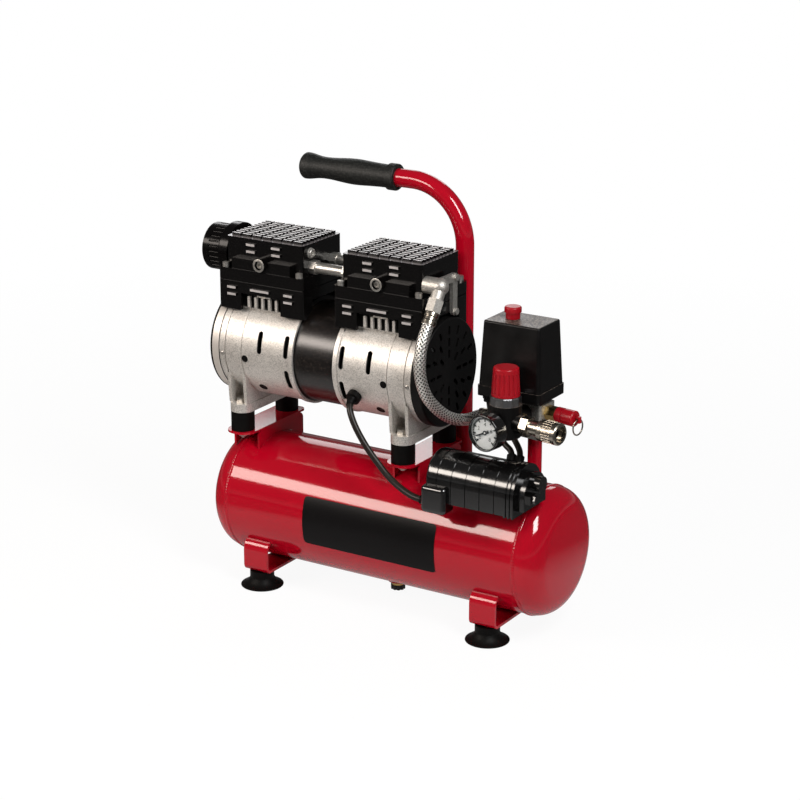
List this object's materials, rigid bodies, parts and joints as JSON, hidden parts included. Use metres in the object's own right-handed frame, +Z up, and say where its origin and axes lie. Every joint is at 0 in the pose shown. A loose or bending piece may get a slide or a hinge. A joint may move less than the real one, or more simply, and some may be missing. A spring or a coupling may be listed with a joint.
{
  "type": "air compressor",
  "caption": "Portable oil-free air compressor: twin-cylinder pump on a lying red tank with rubber feet, rear carrying handle, pressure switch, regulator, gauge, quick coupler and safety valve.",
  "frame": {"origin": "on the floor, under the middle of the machine's box without its hose and cables", "axes": "+X along the tank towards the valve group, -Y to the front with the capacitor and gauge, +Z up"},
  "size_m": [0.4661, 0.1772, 0.4667],
  "materials": {
    "tank_red": "gloss red paint",
    "black_rubber": "matte",
    "zinc_steel": "zinc plated",
    "stator_black": "gloss black",
    "cast_aluminium": "bead blasted",
    "head_black": "satin black on cast aluminium",
    "black_plastic": "satin",
    "ground_steel": "ground",
    "plated_metal": "nickel plated",
    "brass": "turned",
    "red_plastic": "gloss red",
    "braided_steel": "braided wire",
    "cable_black": "satin sheath",
    "dial_white": "matte white",
    "clear_lens": "clear",
    "needle_black": "matte"
  },
  "bodies": {
    "frame": {"tank_shell": "tank_red", "tank_ends": "tank_red", "foot_straps": "tank_red", "motor_brackets": "tank_red", "riser_pipe": "tank_red", "handle_tube": "tank_red", "rubber_feet": "black_rubber", "rubber_dampers": "black_rubber", "handle_grip": "black_rubber", "cable_grommet": "black_rubber", "damper_bolts": "zinc_steel", "head_bolts": "zinc_steel", "valve_plates": "zinc_steel", "stator": "stator_black", "crankcase_left": "cast_aluminium", "crankcase_right": "cast_aluminium", "cylinder_sleeves": "cast_aluminium", "cylinder_block_left": "head_black", "cylinder_block_right": "head_black", "head_cover_left": "head_black", "head_cover_right": "head_black", "fan_covers": "black_plastic", "filter_base": "black_plastic", "filter_cover": "black_plastic", "switch_base": "black_plastic", "switch_cover": "black_plastic", "capacitor_case": "black_plastic", "capacitor_saddle": "black_plastic", "regulator_body": "black_plastic", "gauge_case": "black_plastic", "main_bearings": "ground_steel", "crossover_pipes": "plated_metal", "discharge_elbow": "plated_metal", "manifold": "plated_metal", "check_valve": "plated_metal", "regulator_bonnet": "plated_metal", "coupler_body": "plated_metal", "safety_body": "brass", "drain_valve": "brass", "delivery_hose": "braided_steel", "motor_cable": "cable_black", "switch_cables": "cable_black", "gauge_dial": "dial_white", "gauge_lens": "clear_lens"},
    "rotor": {"motor_shaft": "ground_steel", "rotor_core": "ground_steel", "cranks": "ground_steel", "cooling_fans": "black_plastic"},
    "left_piston": {"piston_left": "cast_aluminium", "crank_pin_left": "ground_steel"},
    "right_piston": {"piston_right": "cast_aluminium", "crank_pin_right": "ground_steel"},
    "switch_knob": {"switch_knob": "red_plastic"},
    "regulator_knob": {"regulator_knob": "red_plastic"},
    "gauge_needle": {"gauge_needle": "needle_black"},
    "coupler_sleeve": {"coupler_sleeve": "plated_metal"},
    "safety_cap": {"safety_cap": "red_plastic"},
    "safety_ring": {"safety_ring": "plated_metal"},
    "drain_knob": {"drain_knob": "needle_black"}
  },
  "joints": [
    {"name": "shaft_spin", "type": "hinge", "parent": "frame", "child": "rotor", "pos_m": [-0.0648, 0.0044, 0.2675], "axis": [1, 0, 0], "continuous": true},
    {"name": "left_piston_stroke", "type": "slide", "parent": "frame", "child": "left_piston", "axis": [0, 0, 1], "range_m": [-0.016, 0]},
    {"name": "right_piston_stroke", "type": "slide", "parent": "frame", "child": "right_piston", "axis": [0, 0, 1], "range_m": [0, 0.016]},
    {"name": "switch_knob_pull", "type": "slide", "parent": "frame", "child": "switch_knob", "axis": [0, 0, 1], "range_m": [0, 0.006]},
    {"name": "regulator_knob_turn", "type": "hinge", "parent": "frame", "child": "regulator_knob", "pos_m": [0.16382, -0.03999, 0.2828], "axis": [0, 0, 1], "range_deg": [-540, 540]},
    {"name": "gauge_needle_turn", "type": "hinge", "parent": "frame", "child": "gauge_needle", "pos_m": [0.15884, -0.07332, 0.2381], "axis": [0.1478, 0.989, 0], "range_deg": [0, 270]},
    {"name": "coupler_sleeve_slide", "type": "slide", "parent": "frame", "child": "coupler_sleeve", "axis": [0.989, -0.1478, 0], "range_m": [-0.004, 0], "stiffness_N_per_m": 900, "springref_m": 0.002},
    {"name": "safety_cap_pull", "type": "slide", "parent": "frame", "child": "safety_cap", "axis": [0.989, -0.1478, 0], "range_m": [0, 0.003], "stiffness_N_per_m": 1500, "springref_m": -0.002},
    {"name": "safety_ring_swing", "type": "hinge", "parent": "safety_cap", "child": "safety_ring", "pos_m": [0.2283, -0.00363, 0.2449], "axis": [-0.1478, -0.989, 0], "range_deg": [-10, 110]},
    {"name": "drain_knob_turn", "type": "hinge", "parent": "frame", "child": "drain_knob", "pos_m": [0.0066, 0.0044, 0.008], "axis": [0, 0, 1], "range_deg": [0, 720]}
  ],
  "couplings": [
    {"joint": "right_piston_stroke", "follows": "left_piston_stroke", "ratio": -1}
  ]
}
